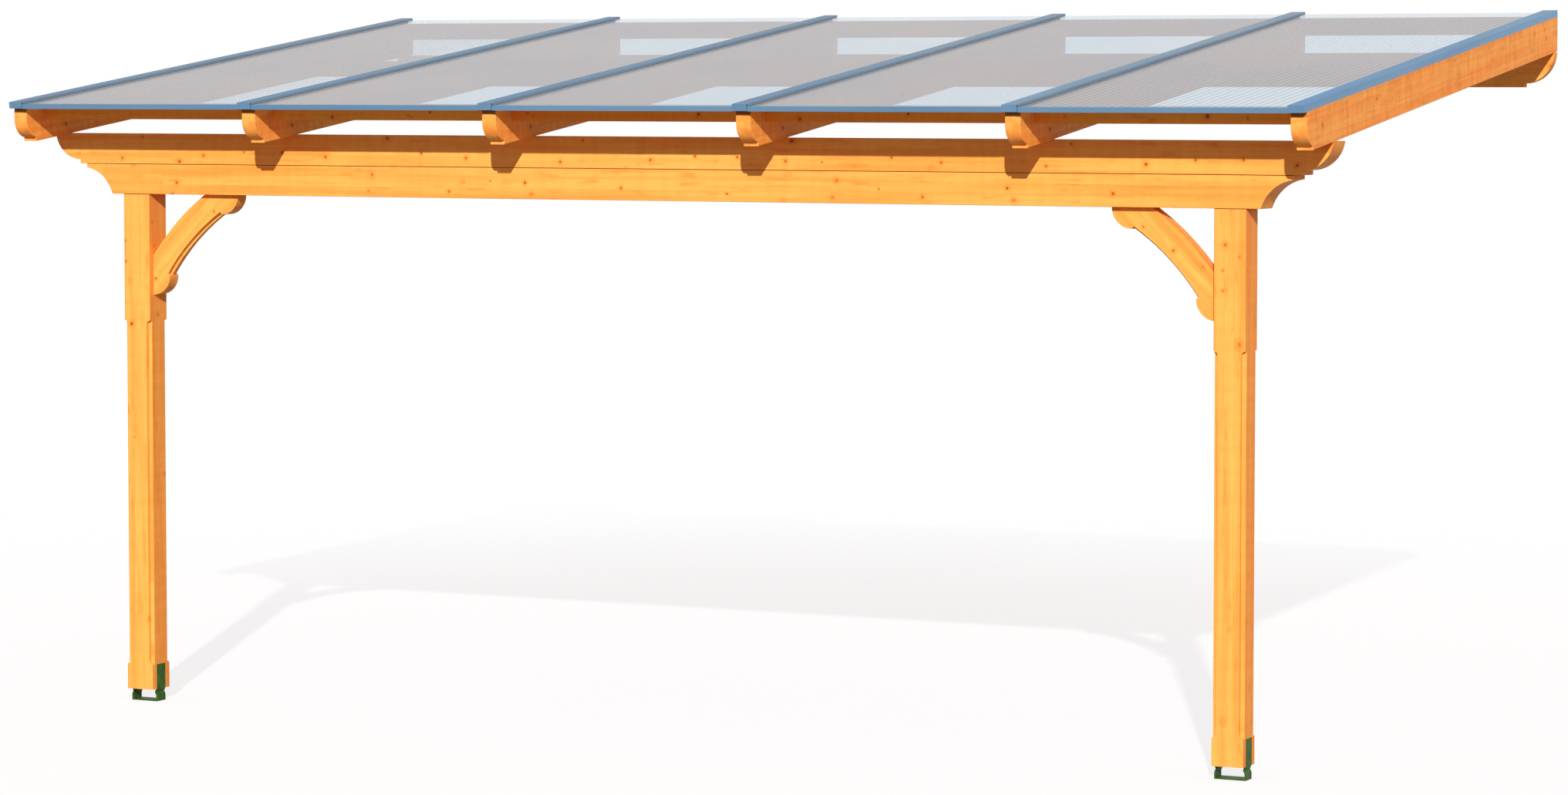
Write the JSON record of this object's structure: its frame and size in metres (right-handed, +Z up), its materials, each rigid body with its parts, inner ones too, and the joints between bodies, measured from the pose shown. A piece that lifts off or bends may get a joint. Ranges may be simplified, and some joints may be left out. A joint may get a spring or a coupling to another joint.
{
  "type": "attached patio cover",
  "caption": "Attached patio cover with braced timber posts, a stacked beam, sloping rafters and translucent twin-wall sheets under aluminium cap strips.",
  "frame": {"origin": "centre of the wall plate's back face, on the plane of the house wall", "axes": "+X to the right along the front, +Y toward the house wall, +Z up; the roof slopes down toward -Y"},
  "size_m": [5.41, 2.995, 2.771],
  "materials": {
    "post_timber": "varnished spruce",
    "beam_timber": "varnished laminated spruce",
    "rafter_timber": "varnished laminated spruce",
    "board_timber": "varnished spruce",
    "twin_wall_sheet": "translucent twin-wall plastic",
    "trim_aluminium": "mill finish",
    "anchor_steel": "green passivated steel"
  },
  "bodies": {
    "root": {"post_left": "post_timber", "anchor_left": "anchor_steel", "brace_left": "post_timber", "post_right": "post_timber", "anchor_right": "anchor_steel", "brace_right": "post_timber", "lower_beam": "beam_timber", "upper_beam": "beam_timber", "wall_plate": "beam_timber", "rafter_1": "rafter_timber", "cap_strip_1": "trim_aluminium", "rafter_2": "rafter_timber", "cap_strip_2": "trim_aluminium", "rafter_3": "rafter_timber", "cap_strip_3": "trim_aluminium", "rafter_4": "rafter_timber", "cap_strip_4": "trim_aluminium", "rafter_5": "rafter_timber", "cap_strip_5": "trim_aluminium", "rafter_6": "rafter_timber", "cap_strip_6": "trim_aluminium", "eave_board_1": "board_timber", "middle_board_1": "board_timber", "wall_board_1": "board_timber", "roof_sheet_1": "twin_wall_sheet", "eave_profile_1": "trim_aluminium", "eave_board_2": "board_timber", "middle_board_2": "board_timber", "wall_board_2": "board_timber", "roof_sheet_2": "twin_wall_sheet", "eave_profile_2": "trim_aluminium", "eave_board_3": "board_timber", "middle_board_3": "board_timber", "wall_board_3": "board_timber", "roof_sheet_3": "twin_wall_sheet", "eave_profile_3": "trim_aluminium", "eave_board_4": "board_timber", "middle_board_4": "board_timber", "wall_board_4": "board_timber", "roof_sheet_4": "twin_wall_sheet", "eave_profile_4": "trim_aluminium", "eave_board_5": "board_timber", "middle_board_5": "board_timber", "wall_board_5": "board_timber", "roof_sheet_5": "twin_wall_sheet", "eave_profile_5": "trim_aluminium"}
  },
  "joints": []
}
